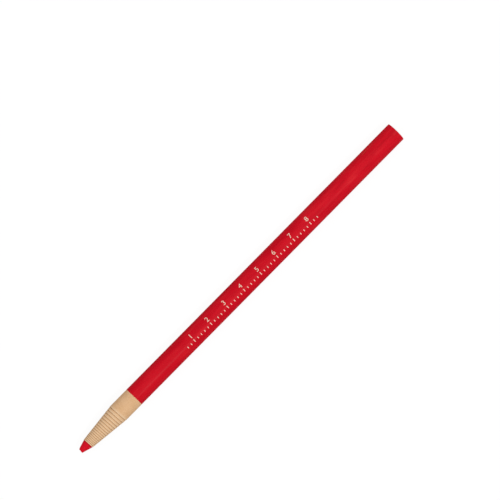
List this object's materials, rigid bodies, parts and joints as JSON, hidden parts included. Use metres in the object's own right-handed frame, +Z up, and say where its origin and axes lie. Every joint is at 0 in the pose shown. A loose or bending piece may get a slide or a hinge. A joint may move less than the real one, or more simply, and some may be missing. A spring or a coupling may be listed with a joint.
{
  "type": "china marker",
  "caption": "Peel-off china marker: blunt wax tip, stepped cone of wound paper and a red paper barrel that strips away in bands along a pull string.",
  "frame": {"origin": "middle of the marker's length, on the surface that it lies on", "axes": "+X along the marker from the writing tip to the tail, +Z up, +Y across"},
  "size_m": [0.172, 0.0082, 0.0082],
  "materials": {
    "wax": "waxy red",
    "kraft_paper": "bare tan kraft paper",
    "coloured_paper": "red, lightly glazed",
    "string": "twisted cotton"
  },
  "bodies": {
    "tail": {"wax_core": "wax", "pull_string": "string", "tail_sleeve": "kraft_paper", "tail_colour_band": "coloured_paper"},
    "strip_01": {"peel_strip_01": "kraft_paper"},
    "strip_02": {"peel_strip_02": "kraft_paper", "colour_band_02": "coloured_paper"},
    "strip_03": {"peel_strip_03": "kraft_paper", "colour_band_03": "coloured_paper"},
    "strip_04": {"peel_strip_04": "kraft_paper", "colour_band_04": "coloured_paper"},
    "strip_05": {"peel_strip_05": "kraft_paper", "colour_band_05": "coloured_paper"},
    "strip_06": {"peel_strip_06": "kraft_paper", "colour_band_06": "coloured_paper"},
    "strip_07": {"peel_strip_07": "kraft_paper", "colour_band_07": "coloured_paper"},
    "strip_08": {"peel_strip_08": "kraft_paper", "colour_band_08": "coloured_paper"},
    "strip_09": {"peel_strip_09": "kraft_paper", "colour_band_09": "coloured_paper"},
    "strip_10": {"peel_strip_10": "kraft_paper", "colour_band_10": "coloured_paper"},
    "strip_11": {"peel_strip_11": "kraft_paper", "colour_band_11": "coloured_paper"},
    "strip_12": {"peel_strip_12": "kraft_paper", "colour_band_12": "coloured_paper"},
    "strip_13": {"peel_strip_13": "kraft_paper", "colour_band_13": "coloured_paper"},
    "strip_14": {"peel_strip_14": "kraft_paper", "colour_band_14": "coloured_paper"}
  },
  "joints": [
    {"name": "peel_14", "type": "slide", "parent": "tail", "child": "strip_14", "axis": [-1, 0, 0], "range_m": [0, 0.147]},
    {"name": "peel_13", "type": "slide", "parent": "strip_14", "child": "strip_13", "axis": [-1, 0, 0], "range_m": [0, 0.138]},
    {"name": "peel_12", "type": "slide", "parent": "strip_13", "child": "strip_12", "axis": [-1, 0, 0], "range_m": [0, 0.129]},
    {"name": "peel_11", "type": "slide", "parent": "strip_12", "child": "strip_11", "axis": [-1, 0, 0], "range_m": [0, 0.12]},
    {"name": "peel_10", "type": "slide", "parent": "strip_11", "child": "strip_10", "axis": [-1, 0, 0], "range_m": [0, 0.111]},
    {"name": "peel_09", "type": "slide", "parent": "strip_10", "child": "strip_09", "axis": [-1, 0, 0], "range_m": [0, 0.102]},
    {"name": "peel_08", "type": "slide", "parent": "strip_09", "child": "strip_08", "axis": [-1, 0, 0], "range_m": [0, 0.093]},
    {"name": "peel_07", "type": "slide", "parent": "strip_08", "child": "strip_07", "axis": [-1, 0, 0], "range_m": [0, 0.084]},
    {"name": "peel_06", "type": "slide", "parent": "strip_07", "child": "strip_06", "axis": [-1, 0, 0], "range_m": [0, 0.075]},
    {"name": "peel_05", "type": "slide", "parent": "strip_06", "child": "strip_05", "axis": [-1, 0, 0], "range_m": [0, 0.066]},
    {"name": "peel_04", "type": "slide", "parent": "strip_05", "child": "strip_04", "axis": [-1, 0, 0], "range_m": [0, 0.057]},
    {"name": "peel_03", "type": "slide", "parent": "strip_04", "child": "strip_03", "axis": [-1, 0, 0], "range_m": [0, 0.048]},
    {"name": "peel_02", "type": "slide", "parent": "strip_03", "child": "strip_02", "axis": [-1, 0, 0], "range_m": [0, 0.039]},
    {"name": "peel_01", "type": "slide", "parent": "strip_02", "child": "strip_01", "axis": [-1, 0, 0], "range_m": [0, 0.03]}
  ]
}
